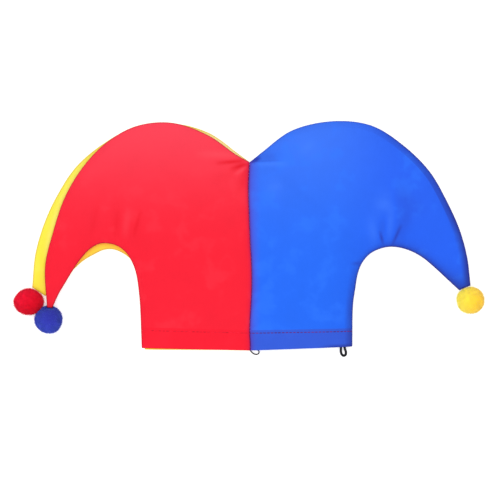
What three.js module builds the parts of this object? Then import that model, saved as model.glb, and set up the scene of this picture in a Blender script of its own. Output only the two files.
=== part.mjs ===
import * as THREE from 'three';
import { mergeVertices } from 'three/addons/utils/BufferGeometryUtils.js';

// A cloth jester hat with three horns, lying flat. Lengths are in millimetres: X runs along the hem,
// Y from the hem towards the crown, and Z up from the surface that the hat lies on.

// Driving dimensions
const headRound = 594;        // once round the hem
const seamHeight = 177;       // a centre seam, from the hem to the crown
const peakRise = 39.5;        // the top of a horn above the crown
const blueReach = 209;        // from the centre seam to the outermost point of each horn
const redReach = 192;
const yellowReach = 205;
const clothWall = 1.2;        // one layer of cloth
const hemFold = 16;           // depth of the hem that is folded inside
const seamGap = 0.3;          // clearance between two sewn edges
const yellowThick = 10.4;     // the yellow leaf, pressed flat by the red one
const centreThick = 21;       // all leaves together at the centre seam
const seamLift = 2.5;         // how far an edge seam stands off what the leaf lies on
const bluePuff = 9.5;         // how far each front panel bulges above its edge seams
const redPuff = 5;
const yellowPuff = 6.5;
const backPuff = 5;           // how far a back panel sinks below its edge seams before it lies flat
const pompomRadius = 12.5;    // to the tips of the tufts
const tuftLength = 1.7;       // from the ball of the pompom to a tuft's tip
const sideLoopCord = 1.7;     // diameter of the elastic
const centreLoopCord = 1.1;

// Meshing
const columnCount = 10;
const rowStep = 0.5;          // of a table row, between two lines of the mesh
const hemStep = 0.05;         // of a table row, over which the hem's second layer ends
const steepest = 1.6;         // limit of a sloping wall's height over its thickness
const bulgeFlat = 2.5;        // exponents of the arch across a panel: a flat top with round shoulders
const bulgeRound = 0.6;
const foldFade = 0.15;        // of a half wave, cut off at each end of a fold
const loopSteps = 22;
const cordSides = 8;

// Sizes that follow from them
const hemWidth = headRound / 6;
const peakHeight = seamHeight + peakRise;
const redRest = yellowThick + seamGap;
const crownRow = 5;

// Leaves, from the hem to the horn's tip, a row for each section. outX and outY place the edge that
// runs up the centre seam and over the ridge, inX and inY the edge that runs up the side and under the
// horn. Up to the crown they are shares of hemWidth and seamHeight. Past it outX is a share of the reach,
// inX of the reach beyond hemWidth, and both heights are shares of peakHeight. outLift and inLift raise
// the edge seams by shares of seamLift, join is the pull of the crown on the ridge, mouth is how wide
// the leaf opens at the centre seam, and puff is the bulge.
const sectionColumns = ['name', 'outX', 'outY', 'inX', 'inY', 'outLift', 'inLift', 'join', 'mouth', 'puff'];
const blueSections = table(sectionColumns, [
  ['hem', 0, 0, 0.986, 0.018, 1, 1, 1, 1, 0.35],
  ['legLow', 0, 0.24, 0.993, 0.24, 1, 1, 1, 1, 0.35],
  ['legMid', 0, 0.501, 1.015, 0.33, 1, 1, 1, 0.98, 0.42],
  ['legHigh', 0, 0.741, 1.038, 0.405, 1, 1, 1, 0.92, 0.6],
  ['collar', 0, 0.911, 1.072, 0.456, 1, 1, 1, 0.64, 0.9],
  ['crown', 0, 1, 1.114, 0.49, 1, 1, 1, 0, 1.2],
  ['neck', 0.059, 0.862, 0.145, 0.421, 1, 1, 0.42, 0, 1.16],
  ['shoulder', 0.194, 0.957, 0.205, 0.437, 1, 1, 0.06, 0, 1.06],
  ['peak', 0.384, 0.998, 0.283, 0.448, 1, 1, 0, 0, 1.02],
  ['brow', 0.555, 0.978, 0.369, 0.448, 1, 1, 0, 0, 1],
  ['bend', 0.699, 0.891, 0.48, 0.433, 1, 1, 0, 0, 1],
  ['upper', 0.817, 0.777, 0.592, 0.402, 1, 1, 0, 0, 0.94],
  ['middle', 0.896, 0.645, 0.703, 0.355, 1.1, 1.1, 0, 0, 0.8],
  ['lower', 0.952, 0.523, 0.789, 0.314, 1.5, 1.5, 0, 0, 0.62],
  ['wrist', 0.985, 0.403, 0.858, 0.281, 2.3, 2.3, 0, 0, 0.4],
  ['tip', 0.999, 0.281, 0.902, 0.26, 3.3, 3.3, 0, 0, 0.04]]);
const redSections = table(sectionColumns, [
  ['hem', 0, 0, 1.019, 0.012, 1, 1, 1, 1, 0.2],
  ['legLow', 0, 0.24, 1.035, 0.24, 1, 1, 1, 1, 0.2],
  ['legMid', 0, 0.501, 1.048, 0.32, 1, 1, 1, 0.98, 0.3],
  ['legHigh', 0, 0.741, 1.067, 0.394, 1, 1, 1, 0.92, 0.5],
  ['collar', 0, 0.911, 1.093, 0.445, 1, 1, 1, 0.64, 1.0],
  ['crown', 0, 1, 1.129, 0.487, 1, 1, 1, 0, 1.5],
  ['neck', 0.059, 0.847, 0.183, 0.426, 1, 1, 0.42, 0, 1.42],
  ['shoulder', 0.201, 0.934, 0.259, 0.451, 1, 1, 0.06, 0, 1.25],
  ['peak', 0.378, 0.988, 0.345, 0.463, 1, 1, 0, 0, 1.1],
  ['brow', 0.555, 0.973, 0.441, 0.463, 1, 1, 0, 0, 1.03],
  ['bend', 0.707, 0.896, 0.543, 0.442, 1, 1, 0, 0, 1],
  ['upper', 0.823, 0.784, 0.644, 0.398, 1, 1, 0, 0, 0.94],
  ['middle', 0.905, 0.658, 0.736, 0.344, 0.9, 0.9, 0, 0, 0.82],
  ['lower', 0.961, 0.51, 0.806, 0.295, 0.7, 0.7, 0, 0, 0.66],
  ['wrist', 0.999, 0.366, 0.869, 0.248, 0.5, 0.5, 0, 0, 0.46],
  ['tip', 0.996, 0.193, 0.915, 0.191, 0.3, 0.3, 0, 0, 0.04]]);
const yellowSections = table(sectionColumns, [
  ['hem', 0, 0, 0.995, 0.002, 1, 1, 1, 1, 1],
  ['legLow', 0, 0.24, 1.005, 0.24, 1, 1, 1, 1, 1],
  ['legMid', 0, 0.501, 1.019, 0.309, 1, 1, 1, 0.98, 1],
  ['legHigh', 0, 0.741, 1.04, 0.378, 1, 1, 1, 0.92, 1],
  ['collar', 0, 0.911, 1.067, 0.429, 1, 1, 1, 0.64, 1],
  ['crown', 0, 1, 1.108, 0.47, 1, 1, 1, 0, 1],
  ['neck', 0.051, 0.851, 0.142, 0.405, 1, 1, 0.42, 0, 1],
  ['shoulder', 0.184, 0.94, 0.205, 0.422, 1, 1, 0.06, 0, 1],
  ['peak', 0.35, 0.988, 0.28, 0.432, 1, 1, 0, 0, 1],
  ['brow', 0.52, 0.974, 0.36, 0.428, 1, 1, 0, 0, 1],
  ['bend', 0.672, 0.899, 0.449, 0.411, 1, 1, 0, 0, 1],
  ['upper', 0.798, 0.797, 0.542, 0.386, 1, 1, 0, 0, 0.95],
  ['middle', 0.882, 0.677, 0.627, 0.353, 1, 1, 0, 0, 0.85],
  ['lower', 0.941, 0.558, 0.712, 0.316, 1.1, 1.1, 0, 0, 0.7],
  ['wrist', 0.984, 0.418, 0.801, 0.274, 1.4, 1.4, 0, 0, 0.45],
  ['tip', 0.998, 0.272, 0.88, 0.235, 1.9, 1.9, 0, 0, 0.04]]);

// Folds pressed into the front panels, a row for each. The ends are shares of the horn's reach and of
// peakHeight, width is a share of hemWidth, and depth a share of seamLift.
const foldColumns = ['name', 'fromX', 'fromY', 'toX', 'toY', 'width', 'depth'];
const blueFolds = table(foldColumns, [
  ['crownShadow', 0.0, 0.818, 0.12, 0.845, 0.055, 0.5],
  ['crotchInner', 0.609, 0.6, 0.603, 0.44, 0.06, 0.45],
  ['crotchOuter', 0.72, 0.6, 0.65, 0.44, 0.06, 0.5]]);
const redFolds = table(foldColumns, [
  ['crownRidge', 0.0, 0.824, 0.17, 0.823, 0.045, 0.6],
  ['crownSlant', 0.0, 0.808, 0.16, 0.74, 0.055, 0.6],
  ['crownDrop', 0.0, 0.8, 0.05, 0.68, 0.05, 0.45],
  ['crotchOuter', 0.65, 0.65, 0.635, 0.46, 0.06, 0.3],
  ['crotchInner', 0.57, 0.6, 0.53, 0.46, 0.06, 0.25]]);

// Routes of the elastic loops. Both legs lie inside the back hem, and the bend lies on the surface.
const sideLoopRoute = [
  [87.0, 13.0, 3.7], [87.1, 9.5, 3.7], [87.2, 6.0, 3.7], [87.0, 3.2, 3.8], [86.8, 0.8, 3.5],
  [86.9, -1.6, 2.0], [87.8, -4.0, 1.1], [89.4, -4.9, 1.0], [91.0, -3.8, 1.1], [91.2, -1.4, 2.0],
  [90.6, 0.8, 3.5], [90.3, 3.2, 3.8], [90.4, 6.0, 3.7], [90.5, 9.5, 3.7], [90.6, 13.0, 3.7]];
const centreLoopRoute = [
  [1.2, 12.5, 3.4], [1.1, 9.0, 3.4], [0.9, 5.5, 3.4], [0.7, 2.4, 3.5], [0.9, 0.2, 3.1],
  [2.4, -2.2, 1.5], [4.8, -4.0, 0.8], [7.3, -4.5, 0.7], [9.2, -3.4, 0.8], [9.4, -1.5, 1.6],
  [8.0, 0.2, 3.1], [7.0, 2.4, 3.5], [6.9, 5.5, 3.4], [6.9, 9.0, 3.4], [6.9, 12.5, 3.4]];

// Finishes
const redCloth = { color: 0xfe2a3e, roughness: 0.75, metalness: 0 };
const blueCloth = { color: 0x2a6cf4, roughness: 0.75, metalness: 0 };
const yellowCloth = { color: 0xfdda3a, roughness: 0.75, metalness: 0 };
const redYarn = { color: 0xd81428, roughness: 0.95, metalness: 0 };
const blueYarn = { color: 0x34399f, roughness: 0.95, metalness: 0 };
const yellowYarn = { color: 0xfdd330, roughness: 0.95, metalness: 0 };
const blackElastic = { color: 0x1b1c1f, roughness: 0.7, metalness: 0 };

// A leaf rests at the height rest, its front panel stays below press, crownSeam is the height of its
// seam at the crown, and crownOpen is how far its two panels stay apart there.
const blueLeaf = {
  side: 1, reach: blueReach, sections: blueSections, folds: blueFolds, frontPuff: bluePuff,
  rest: 0, press: Infinity, crownSeam: redRest - seamGap / 2, crownOpen: clothWall + seamGap,
  frontAtCentre: centreThick - clothWall, pompomSwing: 0,
};
const redLeaf = {
  side: -1, reach: redReach, sections: redSections, folds: redFolds, frontPuff: redPuff,
  rest: redRest, press: Infinity, crownSeam: redRest + clothWall + seamGap / 2, crownOpen: 0,
  frontAtCentre: centreThick - clothWall, pompomSwing: 0,
};
const yellowLeaf = {
  side: -1, reach: yellowReach, sections: yellowSections, folds: [], frontPuff: yellowPuff,
  rest: 0, press: yellowThick, crownSeam: yellowThick - clothWall - seamGap / 2, crownOpen: 0,
  frontAtCentre: yellowThick - clothWall, pompomSwing: 0.17,
};

function table(columns, rows) {
  return rows.map((row) => Object.fromEntries(row.map((value, i) => [columns[i], value])));
}

// Smooth curves through the section rows: both edges, the lifts and the shares
function leafCurves(leaf) {
  const rows = leaf.sections;
  const outer = rows.map((row, i) => {
    const alongX = i <= crownRow ? hemWidth : leaf.reach;
    const alongY = i <= crownRow ? seamHeight : peakHeight;
    return new THREE.Vector3(row.outX * alongX, row.outY * alongY, row.outLift);
  });
  const inner = rows.map((row, i) => (i <= crownRow
    ? new THREE.Vector3(row.inX * hemWidth, row.inY * seamHeight, row.inLift)
    : new THREE.Vector3(hemWidth + row.inX * (leaf.reach - hemWidth), row.inY * peakHeight, row.inLift)));
  const shares = rows.map((row) => new THREE.Vector3(row.join, row.mouth, row.puff));
  return {
    last: rows.length - 1,
    centre: new THREE.CatmullRomCurve3(outer.slice(0, crownRow + 1)),
    ridge: new THREE.CatmullRomCurve3(outer.slice(crownRow)),
    inner: new THREE.CatmullRomCurve3(inner),
    shares: new THREE.CatmullRomCurve3(shares),
  };
}

// The state of a leaf at the section position row, a number that may lie between two rows
function sectionAt(leaf, curves, row) {
  const out = row <= crownRow
    ? curves.centre.getPoint(row / crownRow)
    : curves.ridge.getPoint((row - crownRow) / (curves.last - crownRow));
  const inn = curves.inner.getPoint(row / curves.last);
  const share = curves.shares.getPoint(row / curves.last);
  const join = THREE.MathUtils.clamp(row <= crownRow ? 1 : share.x, 0, 1);
  const mouth = THREE.MathUtils.clamp(row <= crownRow ? share.y : 0, 0, 1);
  const seamLow = leaf.rest + clothWall + seamGap / 2;
  const ridgeSeam = seamLow + out.z * seamLift;
  return {
    out: new THREE.Vector2(Math.max(out.x, 0), out.y),
    inn: new THREE.Vector2(inn.x, inn.y),
    outSeam: THREE.MathUtils.lerp(ridgeSeam, leaf.crownSeam, join),
    inSeam: seamLow + inn.z * seamLift,
    join,
    mouth,
    puff: Math.max(share.z, 0),
  };
}

// Across a leaf, v runs from 0 at the centre seam or ridge to 1 at the side or underside. The opening
// at the centre falls off as the root of 1 - v cubed, and the bulge is a flat-topped arch.
const openingShape = (v) => Math.sqrt(Math.max(0, 1 - v ** 3));
const bulgeShape = (v) => Math.max(0, 1 - Math.abs(2 * v - 1) ** bulgeFlat) ** bulgeRound;

// A fold is a groove that fades out at its ends: a bell curve across, a half sine along
function foldDepth(leaf, x, y) {
  return leaf.folds.reduce((sum, fold) => {
    const start = new THREE.Vector2(fold.fromX * leaf.reach, fold.fromY * peakHeight);
    const along = new THREE.Vector2(fold.toX * leaf.reach, fold.toY * peakHeight).sub(start);
    const offset = new THREE.Vector2(x, y).sub(start);
    const share = THREE.MathUtils.clamp(offset.dot(along) / along.lengthSq(), 0, 1);
    const away = offset.addScaledVector(along, -share).length() / (fold.width * hemWidth);
    const fade = Math.sin(Math.PI * THREE.MathUtils.lerp(foldFade, 1 - foldFade, share));
    return sum + fold.depth * seamLift * Math.exp(-away * away) * fade;
  }, 0);
}

// Height of a panel's inner face, and the thickness of its cloth
function innerFace(leaf, section, isFront, hemLayers, v, x, y) {
  const seam = THREE.MathUtils.lerp(section.outSeam, section.inSeam, v);
  const thick = clothWall * hemLayers;
  const crownOpen = leaf.crownOpen * section.join;
  if (isFront) {
    const open = crownOpen
      + section.mouth * (leaf.frontAtCentre - leaf.crownSeam - seamGap / 2 - leaf.crownOpen);
    const rise = open * openingShape(v) + leaf.frontPuff * section.puff * bulgeShape(v)
      - foldDepth(leaf, x, y) * bulgeShape(v) - (thick - clothWall);
    return { z: Math.min(seam + seamGap / 2 + Math.max(0, rise), leaf.press - thick), thick };
  }
  const open = crownOpen
    + section.mouth * (leaf.crownSeam - seamGap / 2 - leaf.crownOpen - leaf.rest - clothWall);
  const drop = open * openingShape(v) + backPuff * section.puff * bulgeShape(v) - (thick - clothWall);
  return { z: Math.max(seam - seamGap / 2 - Math.max(0, drop), leaf.rest + thick), thick };
}

// Section positions: two at the hem's fold, where the cloth goes from two layers to one, then every half row
function rowPositions(leaf) {
  const foldRow = hemFold / (leaf.sections[1].outY * seamHeight);
  const positions = [{ row: 0, layers: 2 }, { row: foldRow, layers: 2 }, { row: foldRow + hemStep, layers: 1 }];
  for (let row = 1; row <= leaf.sections.length - 1; row += rowStep) positions.push({ row, layers: 1 });
  return positions;
}

// The grid of one panel: plan position, and heights of its inner and outer face
function panelGrid(leaf, isFront) {
  const curves = leafCurves(leaf);
  const grid = rowPositions(leaf).map(({ row, layers }) => {
    const section = sectionAt(leaf, curves, row);
    return Array.from({ length: columnCount + 1 }, (_, j) => {
      const v = 0.5 - 0.5 * Math.cos(Math.PI * j / columnCount);
      const plan = section.out.clone().lerp(section.inn, v);
      const x = leaf.side * Math.max(plan.x, seamGap / 2);
      const { z, thick } = innerFace(leaf, section, isFront, layers, v, plan.x, plan.y);
      return { inner: new THREE.Vector3(x, plan.y, z), thick };
    });
  });
  grid.forEach((line, i) => line.forEach((point, j) => {
    const alongRow = at(grid, i + 1, j).inner.clone().sub(at(grid, i - 1, j).inner);
    const acrossRow = at(grid, i, j + 1).inner.clone().sub(at(grid, i, j - 1).inner);
    const normal = alongRow.cross(acrossRow);
    const slope = Math.min(steepest, normal.length() / Math.abs(normal.z));
    const outerZ = isFront
      ? Math.min(point.inner.z + point.thick * slope, leaf.press)
      : Math.max(point.inner.z - point.thick * slope, leaf.rest);
    point.outer = new THREE.Vector3(point.inner.x, point.inner.y, outerZ);
  }));
  return grid;
}

function at(grid, i, j) {
  const line = grid[THREE.MathUtils.clamp(i, 0, grid.length - 1)];
  return line[THREE.MathUtils.clamp(j, 0, line.length - 1)];
}

// Two faces with a wall between them, closed round the edge and turned the right way out
function closedPanel(grid) {
  const rows = grid.length;
  const columns = grid[0].length;
  const points = [...grid.flat().map((point) => point.outer), ...grid.flat().map((point) => point.inner)];
  const outer = (i, j) => i * columns + j;
  const inner = (i, j) => rows * columns + outer(i, j);
  const quads = [];
  for (let i = 0; i < rows - 1; i += 1) {
    for (let j = 0; j < columns - 1; j += 1) {
      quads.push([outer(i, j), outer(i + 1, j), outer(i + 1, j + 1), outer(i, j + 1)]);
      quads.push([inner(i, j), inner(i, j + 1), inner(i + 1, j + 1), inner(i + 1, j)]);
    }
  }
  const edge = [];
  for (let i = 0; i < rows - 1; i += 1) edge.push([i, 0]);
  for (let j = 0; j < columns - 1; j += 1) edge.push([rows - 1, j]);
  for (let i = rows - 1; i > 0; i -= 1) edge.push([i, columns - 1]);
  for (let j = columns - 1; j > 0; j -= 1) edge.push([0, j]);
  edge.forEach((here, k) => {
    const next = edge[(k + 1) % edge.length];
    quads.push([outer(...next), outer(...here), inner(...here), inner(...next)]);
  });
  const geometry = new THREE.BufferGeometry().setFromPoints(points);
  geometry.setIndex(quads.flatMap(([a, b, c, d]) => [a, b, c, a, c, d]));
  return turnedOut(geometry);
}

// Turns every face round if the enclosed volume comes out negative
function turnedOut(geometry) {
  const position = geometry.attributes.position;
  const index = Array.from(geometry.index.array);
  const corner = [0, 1, 2].map(() => new THREE.Vector3());
  let volume = 0;
  for (let k = 0; k < index.length; k += 3) {
    corner.forEach((point, n) => point.fromBufferAttribute(position, index[k + n]));
    volume += corner[0].dot(corner[1].clone().cross(corner[2])) / 6;
  }
  if (volume < 0) geometry.setIndex(index.reverse());
  geometry.computeVertexNormals();
  return geometry;
}

// A yarn ball: a geodesic ball whose every face is drawn out into a tuft
function pompomGeometry() {
  const ball = new THREE.IcosahedronGeometry(pompomRadius - tuftLength, 2);
  ball.deleteAttribute('normal');
  ball.deleteAttribute('uv');
  const core = mergeVertices(ball);
  const points = Array.from({ length: core.attributes.position.count }, (_, i) =>
    new THREE.Vector3().fromBufferAttribute(core.attributes.position, i));
  const faces = [];
  for (let k = 0; k < core.index.count; k += 3) {
    const [a, b, c] = [0, 1, 2].map((n) => core.index.getX(k + n));
    const tip = points[a].clone().add(points[b]).add(points[c]).setLength(pompomRadius);
    points.push(tip);
    const t = points.length - 1;
    faces.push(a, b, t, b, c, t, c, a, t);
  }
  const geometry = new THREE.BufferGeometry().setFromPoints(points);
  geometry.setIndex(faces);
  return turnedOut(geometry);
}

// A pompom rests on the surface, touching the end of its horn, swung round the tip by a small angle
function pompomCentre(leaf) {
  const curves = leafCurves(leaf);
  const tip = sectionAt(leaf, curves, curves.last);
  const middle = tip.out.clone().add(tip.inn).multiplyScalar(0.5);
  const edge = tip.out.clone().sub(tip.inn).normalize();
  const outward = new THREE.Vector2(edge.y, -edge.x).rotateAround(new THREE.Vector2(), leaf.pompomSwing);
  const halfEdge = clothWall + seamGap / 2;
  const below = Math.max(0, Math.abs(pompomRadius - tip.inSeam) - halfEdge);
  const away = Math.sqrt((pompomRadius + seamGap) ** 2 - below ** 2) / Math.cos(leaf.pompomSwing);
  middle.addScaledVector(outward, away);
  return new THREE.Vector3(leaf.side * middle.x, middle.y, pompomRadius);
}

// A round elastic carried along its route
function loopGeometry(route, diameter) {
  const path = new THREE.CatmullRomCurve3(route.map((point) => new THREE.Vector3(...point)));
  const section = new THREE.Shape(Array.from({ length: cordSides }, (_, k) => {
    const angle = 2 * Math.PI * k / cordSides;
    return new THREE.Vector2(Math.cos(angle), Math.sin(angle)).multiplyScalar(diameter / 2);
  }));
  return new THREE.ExtrudeGeometry(section, { steps: loopSteps, extrudePath: path, bevelEnabled: false });
}

function piece(name, geometry, finish) {
  const mesh = new THREE.Mesh(geometry, new THREE.MeshStandardMaterial(finish));
  mesh.name = name;
  return mesh;
}

function panels(colour, leaf, finish) {
  return [
    piece(`${colour}_front_panel`, closedPanel(panelGrid(leaf, true)), finish),
    piece(`${colour}_back_panel`, closedPanel(panelGrid(leaf, false)), finish),
  ];
}

function pompom(name, leaf, finish) {
  const mesh = piece(name, pompomGeometry(), finish);
  mesh.position.copy(pompomCentre(leaf));
  return mesh;
}

// The hat stands on the middle of the base of its box, the loops left out of it
function jesterHat() {
  const body = new THREE.Group();
  body.add(...panels('blue', blueLeaf, blueCloth));
  body.add(...panels('red', redLeaf, redCloth));
  body.add(...panels('yellow', yellowLeaf, yellowCloth));
  body.add(pompom('yellow_pompom', blueLeaf, yellowYarn));
  body.add(pompom('blue_pompom', redLeaf, blueYarn));
  body.add(pompom('red_pompom', yellowLeaf, redYarn));
  const box = new THREE.Box3().setFromObject(body, true);
  const centre = box.getCenter(new THREE.Vector3());
  const hat = new THREE.Group();
  hat.add(body);
  hat.add(piece('side_hem_loop', loopGeometry(sideLoopRoute, sideLoopCord), blackElastic));
  hat.add(piece('centre_hem_loop', loopGeometry(centreLoopRoute, centreLoopCord), blackElastic));
  hat.position.set(-centre.x, -centre.y, -box.min.z);
  return hat;
}

export default jesterHat();
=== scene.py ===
import math

import bmesh
import bpy
import numpy as np
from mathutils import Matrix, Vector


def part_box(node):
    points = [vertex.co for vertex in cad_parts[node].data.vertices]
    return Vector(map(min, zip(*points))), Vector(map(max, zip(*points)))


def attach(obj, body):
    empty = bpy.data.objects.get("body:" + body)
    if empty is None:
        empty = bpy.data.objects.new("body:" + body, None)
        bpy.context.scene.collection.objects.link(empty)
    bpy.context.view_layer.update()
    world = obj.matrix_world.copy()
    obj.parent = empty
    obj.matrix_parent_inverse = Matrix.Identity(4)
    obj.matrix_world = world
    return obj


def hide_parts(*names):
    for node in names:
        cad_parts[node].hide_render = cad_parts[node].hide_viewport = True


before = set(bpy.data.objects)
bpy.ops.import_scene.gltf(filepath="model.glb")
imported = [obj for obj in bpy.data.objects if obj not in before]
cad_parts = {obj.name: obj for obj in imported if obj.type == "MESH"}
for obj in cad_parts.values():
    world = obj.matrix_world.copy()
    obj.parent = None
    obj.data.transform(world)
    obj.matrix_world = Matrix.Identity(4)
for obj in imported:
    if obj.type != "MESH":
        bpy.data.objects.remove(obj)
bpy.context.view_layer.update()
print("frame loaded")

# The camera looks straight down, as the photograph does
overhead = {
    "aim": (-0.00005, -0.01373),  # the point under the middle of the picture, in metres
    "height": 2.2,
    "level": 0.008,               # height of the plane that the picture's width is measured on
    "pictureWidth": 0.4715,
    "sensor": 36,
}


def placeCamera(settings):
    data = bpy.data.cameras.new("overhead_camera")
    data.sensor_width = settings["sensor"]
    data.lens = settings["sensor"] * (settings["height"] - settings["level"]) / settings["pictureWidth"]
    camera = bpy.data.objects.new("overhead_camera", data)
    camera.location = (*settings["aim"], settings["height"])
    bpy.context.scene.collection.objects.link(camera)
    bpy.context.scene.camera = camera


placeCamera(overhead)
print("camera placed")

# Sizes that all pieces share, in millimetres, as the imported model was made. Every mesh is turned
# into metres at the end.
hat = {
    "hemWidth": 99.0,
    "seamHeight": 177.0,
    "peakHeight": 216.5,
    "crownRow": 5,
    "clothWall": 1.2,
    "sewnGap": 0.3,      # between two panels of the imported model, which sets the heights
    "shownGap": 0.04,    # between two panels here
    "hemFold": 17.0,     # depth of the hem's second layer
    "hemStep": 0.9,      # over which that layer ends
    "stitchDepth": 15.9, # of the row of stitches above the hem's edge
    "stitchPull": 0.32,  # how far the thread draws the cloth in
    "seamLift": 2.5,
    "backPuff": 5.0,
    "bulgeFlat": 2.5,
    "bulgeRound": 0.6,
    "foldFade": 0.15,
    "steepest": 1.6,
    "bowReach": 32.0,    # how far from the centre seam its bow is felt
}
# The centre seam isn't quite straight: heights above the hem's foot and how far it sways to the right
seamBow = [(0, 1.2), (6, 1.3), (17, 0.7), (28, 1.0), (40, 1.7), (51, 2.3), (62, 2.6), (74, 2.55), (85, 2.2),
           (96, 1.5), (107, 1.0), (119, 0.5), (130, 0.1), (141, -0.35), (153, -0.5), (164, -0.2), (171, 0.2),
           (177, 0.6)]
metre = 0.001
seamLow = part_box("blue_front_panel")[0]
seamX = seamLow.x / metre - hat["sewnGap"] / 2   # the centre seam and the hem's foot in the frame
hemY = seamLow.y / metre


def smoothStep(low, high, value):
    share = np.clip((value - low) / (high - low), 0, 1)
    return share * share * (3 - 2 * share)


# A line through the rows of points: between two rows it is a cubic, whose slopes at both ends weigh
# the neighbouring steps by the square root of their length
def smoothLine(points, at):
    points = np.asarray(points, float)
    whole = np.vstack([2 * points[0] - points[1], points, 2 * points[-1] - points[-2]])
    at = np.asarray(at, float)
    first = np.clip(np.floor(at).astype(int), 0, len(points) - 2)
    share = (at - first)[:, None]
    p0, p1, p2, p3 = (whole[first + k] for k in range(4))
    before, middle, after = (
        np.sqrt(np.linalg.norm(b - a, axis=1))[:, None] for a, b in ((p0, p1), (p1, p2), (p2, p3))
    )
    middle = np.where(middle < 1e-4, 1.0, middle)
    before = np.where(before < 1e-4, middle, before)
    after = np.where(after < 1e-4, middle, after)
    slope1 = ((p1 - p0) / before - (p2 - p0) / (before + middle) + (p2 - p1) / middle) * middle
    slope2 = ((p2 - p1) / middle - (p3 - p1) / (middle + after) + (p3 - p2) / after) * middle
    return (
        p1 + slope1 * share
        + (3 * (p2 - p1) - 2 * slope1 - slope2) * share**2
        + (2 * (p1 - p2) + slope1 + slope2) * share**3
    )


# Uneven waves along a length: a sum of sines whose wavelengths lie between short and long
def ripple(length, short, long, seed, count=7):
    random = np.random.default_rng(seed)
    waves = random.uniform(short, long, count)
    phases = random.uniform(0, 2 * math.pi, count)
    total = sum(np.sin(2 * math.pi * length / w + p) for w, p in zip(waves, phases))
    return total / math.sqrt(count)


# Uneven waves over a surface: a sum of sines that run in all directions
def swell(x, y, short, long, seed, count=14):
    random = np.random.default_rng(seed)
    waves = random.uniform(short, long, count)
    turns = random.uniform(0, 2 * math.pi, count)
    phases = random.uniform(0, 2 * math.pi, count)
    total = sum(
        np.sin(2 * math.pi * (x * math.cos(t) + y * math.sin(t)) / w + p)
        for w, t, p in zip(waves, turns, phases)
    )
    return total / math.sqrt(count)


# Points in millimetres from the centre seam and the hem's foot, into the frame in metres
def inFrame(points):
    return (points + np.array([seamX, hemY, 0.0])) * metre


# A mesh from a block of points and blocks of faces with three or four corners each
def makePiece(name, points, faceBlocks, material, attributes=None, plan=None):
    mesh = bpy.data.meshes.new(name)
    mesh.vertices.add(len(points))
    mesh.vertices.foreach_set("co", np.asarray(points, np.float32).ravel())
    corners = np.concatenate([block.ravel() for block in faceBlocks])
    sizes = np.concatenate([np.full(len(block), block.shape[1]) for block in faceBlocks])
    mesh.loops.add(len(corners))
    mesh.loops.foreach_set("vertex_index", corners.astype(np.int32))
    mesh.polygons.add(len(sizes))
    mesh.polygons.foreach_set("loop_start", (np.cumsum(sizes) - sizes).astype(np.int32))
    mesh.polygons.foreach_set("use_smooth", np.ones(len(sizes), bool))
    mesh.update(calc_edges=True)
    for label, values in (attributes or {}).items():
        mesh.attributes.new(label, "FLOAT", "POINT").data.foreach_set("value", values.astype(np.float32))
    if plan is not None:
        layer = mesh.uv_layers.new(name="cut")
        layer.data.foreach_set("uv", plan[corners].astype(np.float32).ravel())
    mesh.materials.append(material)
    piece = bpy.data.objects.new(name, mesh)
    bpy.context.scene.collection.objects.link(piece)
    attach(piece, "root")
    return piece


# Faces of a tube or a ball: rings of points, closed round, with the last corner of each ring next to
# the first
def ringFaces(rings, around):
    i, j = np.meshgrid(np.arange(rings - 1), np.arange(around), indexing="ij")
    here, after = i * around + j, i * around + (j + 1) % around
    return np.stack([here, after, after + around, here + around], -1).reshape(-1, 4)


# Fans that close such a tube or ball at both ends, round two points that follow its rings
def capFaces(rings, around):
    here = np.arange(around)
    after = (here + 1) % around
    first = np.full_like(here, rings * around)
    end = (rings - 1) * around
    return np.vstack([np.stack([first, here, after], -1), np.stack([first + 1, end + after, end + here], -1)])


def unit(vectors):
    return vectors / np.linalg.norm(vectors, axis=1)[:, None]


# How far along a line of points each of them lies
def lengthAlong(line):
    return np.concatenate([[0], np.cumsum(np.linalg.norm(np.diff(line, axis=0), axis=1))])


# Adds a node, sets its fields, and plugs in numbers, colours or other nodes' outputs
def put(tree, kind, fields=None, plugs=None):
    node = tree.nodes.new(kind)
    for field, value in (fields or {}).items():
        setattr(node, field, value)
    for socket, value in (plugs or {}).items():
        if isinstance(value, bpy.types.NodeSocket):
            tree.links.new(value, node.inputs[socket])
        else:
            node.inputs[socket].default_value = value
    return node


def compute(tree, operation, *values):
    return put(tree, "ShaderNodeMath", {"operation": operation}, dict(enumerate(values))).outputs[0]


def blendColours(tree, share, low, high, mode="MIX"):
    node = put(tree, "ShaderNodeMix", {"data_type": "RGBA", "blend_type": mode},
               {"Factor": share, "A": low, "B": high})
    return [socket for socket in node.outputs if socket.type == "RGBA"][0]


def mapRange(tree, value, low, high, toLow=0.0, toHigh=1.0):
    return put(tree, "ShaderNodeMapRange", {"interpolation_type": "SMOOTHSTEP"},
               {"Value": value, "From Min": low, "From Max": high, "To Min": toLow,
                "To Max": toHigh}).outputs[0]


def readAttribute(tree, label):
    return put(tree, "ShaderNodeAttribute", {"attribute_name": label}).outputs["Fac"]


# A colour made lighter or darker by one plus the sum of its parts, each times its share
def toned(tree, colour, parts):
    tone = 1.0
    for part, share in parts:
        tone = compute(tree, "MULTIPLY_ADD", part, share, tone)
    grey = put(tree, "ShaderNodeCombineColor", {}, {"Red": tone, "Green": tone, "Blue": tone}).outputs[0]
    return blendColours(tree, 1.0, colour, grey, "MULTIPLY")


def startGroup(name, inputs, outputs):
    group = bpy.data.node_groups.new(name, "ShaderNodeTree")
    for label, kind, value in inputs:
        socket = group.interface.new_socket(name=label, in_out="INPUT", socket_type=kind)
        if value is not None:
            socket.default_value = value
    for label in outputs:
        group.interface.new_socket(name=label, in_out="OUTPUT", socket_type="NodeSocketFloat")
    return group, group.nodes.new("NodeGroupInput"), group.nodes.new("NodeGroupOutput")


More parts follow.
